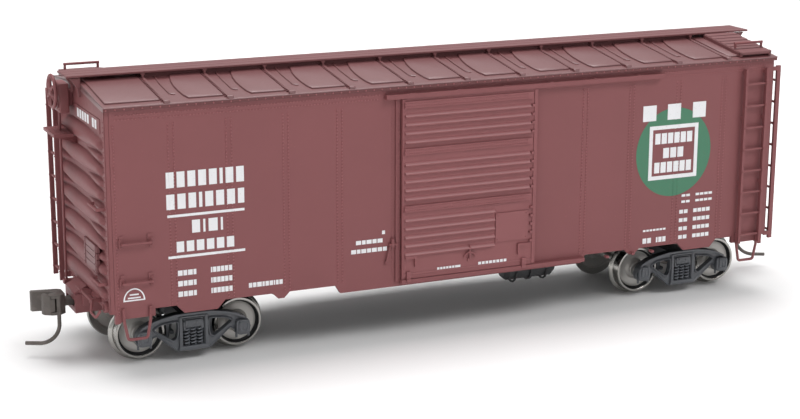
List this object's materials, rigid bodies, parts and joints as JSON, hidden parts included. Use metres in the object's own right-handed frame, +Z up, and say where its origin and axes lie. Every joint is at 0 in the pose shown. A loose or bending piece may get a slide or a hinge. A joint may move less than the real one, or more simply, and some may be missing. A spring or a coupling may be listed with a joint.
{
  "type": "model railway boxcar",
  "caption": "Scale model railway boxcar with ribbed ends, sliding side doors, roof walkway, ladders, swivelling trucks, rolling wheelsets and knuckle couplers.",
  "frame": {"origin": "bottom centre of the bounding box, level with the undersides of the wheel flanges", "axes": "+X along the car away from the hand brake end, +Y to the car's left side as seen from the hand brake end, +Z up"},
  "size_m": [0.165, 0.0374, 0.0536],
  "materials": {
    "body_paint": "dull oxide red paint on moulded plastic",
    "frame_black": "flat black",
    "truck_grey": "flat dark blue-grey",
    "wheel_steel": "turned metal with bright treads",
    "coupler_metal": "dull grey-brown cast metal",
    "plain_steel": "plain steel plate and screws"
  },
  "bodies": {
    "car": {"floor": "frame_black", "centre_sill": "frame_black", "cross_members": "frame_black", "weight": "plain_steel", "side_right": "body_paint", "side_left": "body_paint", "end_b": "body_paint", "end_a": "body_paint", "roof": "body_paint", "running_board": "body_paint", "lateral_boards": "body_paint", "roof_grabs": "body_paint", "tracks_right": "body_paint", "tracks_left": "body_paint", "side_ladders": "body_paint", "end_ladders": "body_paint", "grab_irons": "body_paint", "sill_steps": "body_paint", "brake_wheel": "body_paint", "brake_housing": "body_paint", "brake_step": "body_paint", "brake_rod": "body_paint", "uncoupling_levers": "body_paint", "tack_boards": "body_paint", "coupler_box_b": "body_paint", "coupler_box_a": "body_paint", "reservoir": "frame_black", "brake_cylinder": "frame_black", "control_valve": "frame_black", "brake_pipes": "frame_black", "king_screws": "plain_steel"},
    "door_right": {"door_right": "body_paint"},
    "door_left": {"door_left": "body_paint"},
    "coupler_b": {"coupler_b": "coupler_metal"},
    "coupler_a": {"coupler_a": "coupler_metal"},
    "knuckle_b": {"knuckle_b": "coupler_metal"},
    "knuckle_a": {"knuckle_a": "coupler_metal"},
    "truck_b": {"truck_b_bolster": "truck_grey", "truck_b_right": "truck_grey", "truck_b_left": "truck_grey"},
    "truck_a": {"truck_a_bolster": "truck_grey", "truck_a_right": "truck_grey", "truck_a_left": "truck_grey"},
    "wheelset_b1": {"wheelset_b1": "wheel_steel"},
    "wheelset_b2": {"wheelset_b2": "wheel_steel"},
    "wheelset_a1": {"wheelset_a1": "wheel_steel"},
    "wheelset_a2": {"wheelset_a2": "wheel_steel"}
  },
  "joints": [
    {"name": "door_right_slide", "type": "slide", "parent": "car", "child": "door_right", "axis": [1, 0, 0], "range_m": [0, 0.0285]},
    {"name": "door_left_slide", "type": "slide", "parent": "car", "child": "door_left", "axis": [-1, 0, 0], "range_m": [0, 0.0285]},
    {"name": "coupler_b_swing", "type": "hinge", "parent": "car", "child": "coupler_b", "pos_m": [-0.0672, 0, 0.0106], "axis": [0, 0, 1], "range_deg": [-8, 8]},
    {"name": "knuckle_b_open", "type": "hinge", "parent": "coupler_b", "child": "knuckle_b", "pos_m": [-0.0775, -0.0014, 0.0106], "axis": [0, 0, 1], "range_deg": [0, 18]},
    {"name": "truck_b_swivel", "type": "hinge", "parent": "car", "child": "truck_b", "pos_m": [-0.0539, 0, 0.0096], "axis": [0, 0, 1], "range_deg": [-10, 10]},
    {"name": "coupler_a_swing", "type": "hinge", "parent": "car", "child": "coupler_a", "pos_m": [0.0672, 0, 0.0106], "axis": [0, 0, 1], "range_deg": [-8, 8]},
    {"name": "knuckle_a_open", "type": "hinge", "parent": "coupler_a", "child": "knuckle_a", "pos_m": [0.0775, 0.0014, 0.0106], "axis": [0, 0, 1], "range_deg": [0, 18]},
    {"name": "truck_a_swivel", "type": "hinge", "parent": "car", "child": "truck_a", "pos_m": [0.0539, 0, 0.0096], "axis": [0, 0, 1], "range_deg": [-10, 10]},
    {"name": "wheelset_b1_roll", "type": "hinge", "parent": "truck_b", "child": "wheelset_b1", "pos_m": [-0.0635, 0, 0.0055], "axis": [0, 1, 0], "continuous": true},
    {"name": "wheelset_b2_roll", "type": "hinge", "parent": "truck_b", "child": "wheelset_b2", "pos_m": [-0.0443, 0, 0.0055], "axis": [0, 1, 0], "continuous": true},
    {"name": "wheelset_a1_roll", "type": "hinge", "parent": "truck_a", "child": "wheelset_a1", "pos_m": [0.0443, 0, 0.0055], "axis": [0, 1, 0], "continuous": true},
    {"name": "wheelset_a2_roll", "type": "hinge", "parent": "truck_a", "child": "wheelset_a2", "pos_m": [0.0635, 0, 0.0055], "axis": [0, 1, 0], "continuous": true}
  ]
}
